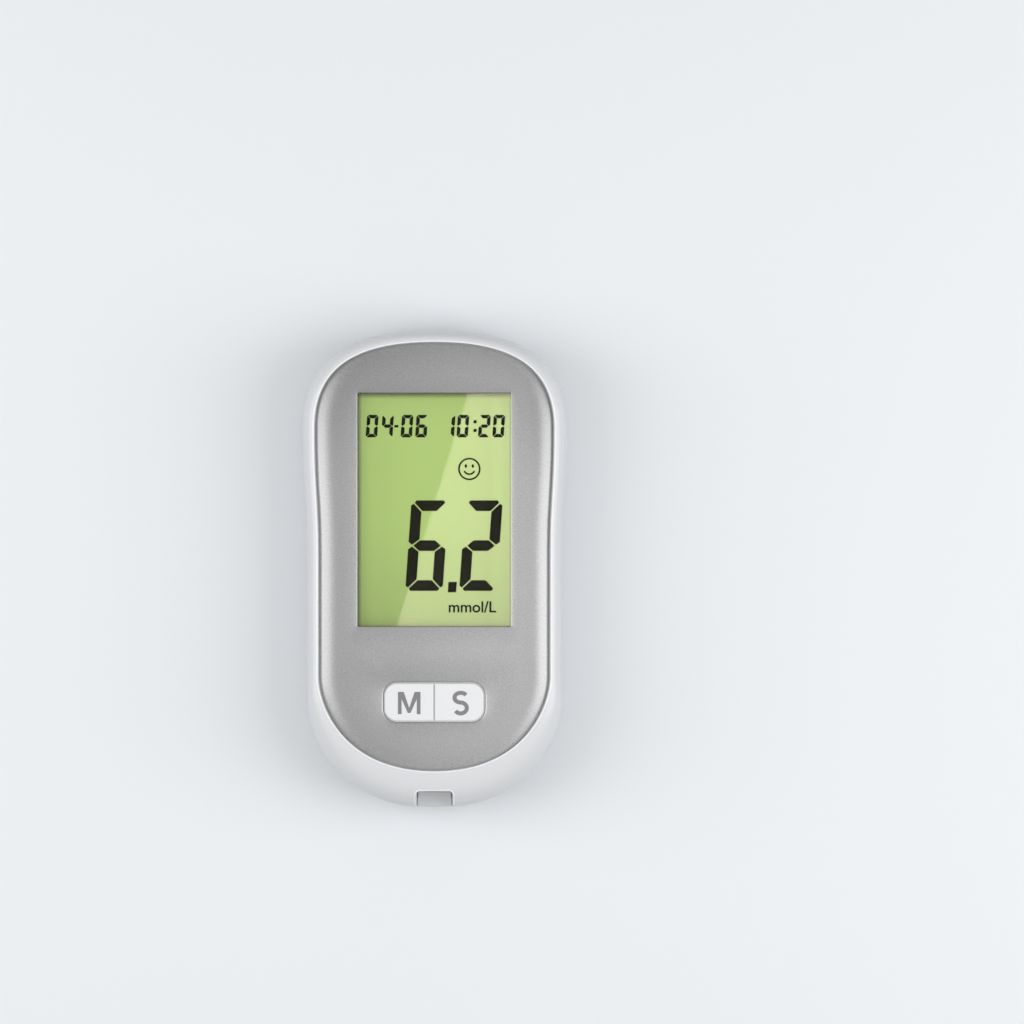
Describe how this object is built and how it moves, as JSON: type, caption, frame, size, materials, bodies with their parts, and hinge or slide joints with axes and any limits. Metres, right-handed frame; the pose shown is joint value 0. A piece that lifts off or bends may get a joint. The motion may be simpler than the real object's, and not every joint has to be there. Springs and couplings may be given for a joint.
{
  "type": "blood glucose meter",
  "caption": "Hand-held blood glucose meter with a segment display, paired M and S keys, a test strip port and a hinged battery door.",
  "frame": {"origin": "on the table under the middle of the case, in the plane that the rubber feet rest on", "axes": "+X to the right as the display is read, +Y from the strip port to the head, +Z out of the display"},
  "size_m": [0.0534, 0.0966, 0.0201],
  "materials": {
    "shell_white": "gloss",
    "plate_silver": "satin",
    "key_white": "satin",
    "window_clear": "gloss",
    "lcd_glass": "gloss",
    "reflector_green": "matte",
    "holder_grey": "matte",
    "gasket_foam": "matte",
    "zebra_rubber": "matte",
    "board_green": "satin",
    "chip_black": "matte",
    "component_tan": "satin",
    "crystal_can": "satin",
    "buzzer_black": "matte",
    "switch_black": "matte",
    "plunger_red": "matte",
    "guide_grey": "satin",
    "connector_black": "matte",
    "contact_gold": "satin",
    "contact_nickel": "satin",
    "cell_jacket": "satin",
    "spring_steel": "satin",
    "screw_steel": "satin",
    "foot_rubber": "matte"
  },
  "bodies": {
    "case": {"amplifier_chip": "chip_black", "board_capacitors": "component_tan", "board_resistors": "chip_black", "board_screws": "screw_steel", "buzzer": "buzzer_black", "case_screws": "screw_steel", "clock_crystal": "crystal_can", "display_gasket": "gasket_foam", "display_window": "window_clear", "face_plate": "plate_silver", "front_shell": "shell_white", "lcd_front_glass": "lcd_glass", "lcd_holder": "holder_grey", "lcd_rear_glass": "lcd_glass", "lcd_reflector": "reflector_green", "left_cell": "cell_jacket", "left_cell_spring": "spring_steel", "link_contact": "contact_nickel", "m_switch_body": "switch_black", "main_board": "board_green", "memory_chip": "chip_black", "negative_contact": "contact_nickel", "positive_contact": "contact_nickel", "processor_chip": "chip_black", "rear_shell": "shell_white", "right_cell": "cell_jacket", "right_cell_spring": "spring_steel", "rubber_feet": "foot_rubber", "s_switch_body": "switch_black", "strip_connector": "connector_black", "strip_contacts": "contact_gold", "strip_guide": "guide_grey", "zebra_strip": "zebra_rubber"},
    "m_key_body": {"m_key": "key_white", "m_switch_plunger": "plunger_red"},
    "s_key_body": {"s_key": "key_white", "s_switch_plunger": "plunger_red"},
    "door": {"battery_door": "shell_white"}
  },
  "joints": [
    {"name": "m_key_press", "type": "slide", "parent": "case", "child": "m_key_body", "axis": [0, 0, -1], "range_m": [0, 0.00035], "stiffness_N_per_m": 1500},
    {"name": "s_key_press", "type": "slide", "parent": "case", "child": "s_key_body", "axis": [0, 0, -1], "range_m": [0, 0.00035], "stiffness_N_per_m": 1500},
    {"name": "door_hinge", "type": "hinge", "parent": "case", "child": "door", "pos_m": [0, -0.03185, 0.00135], "axis": [-1, 0, 0], "range_deg": [0, 85]}
  ]
}
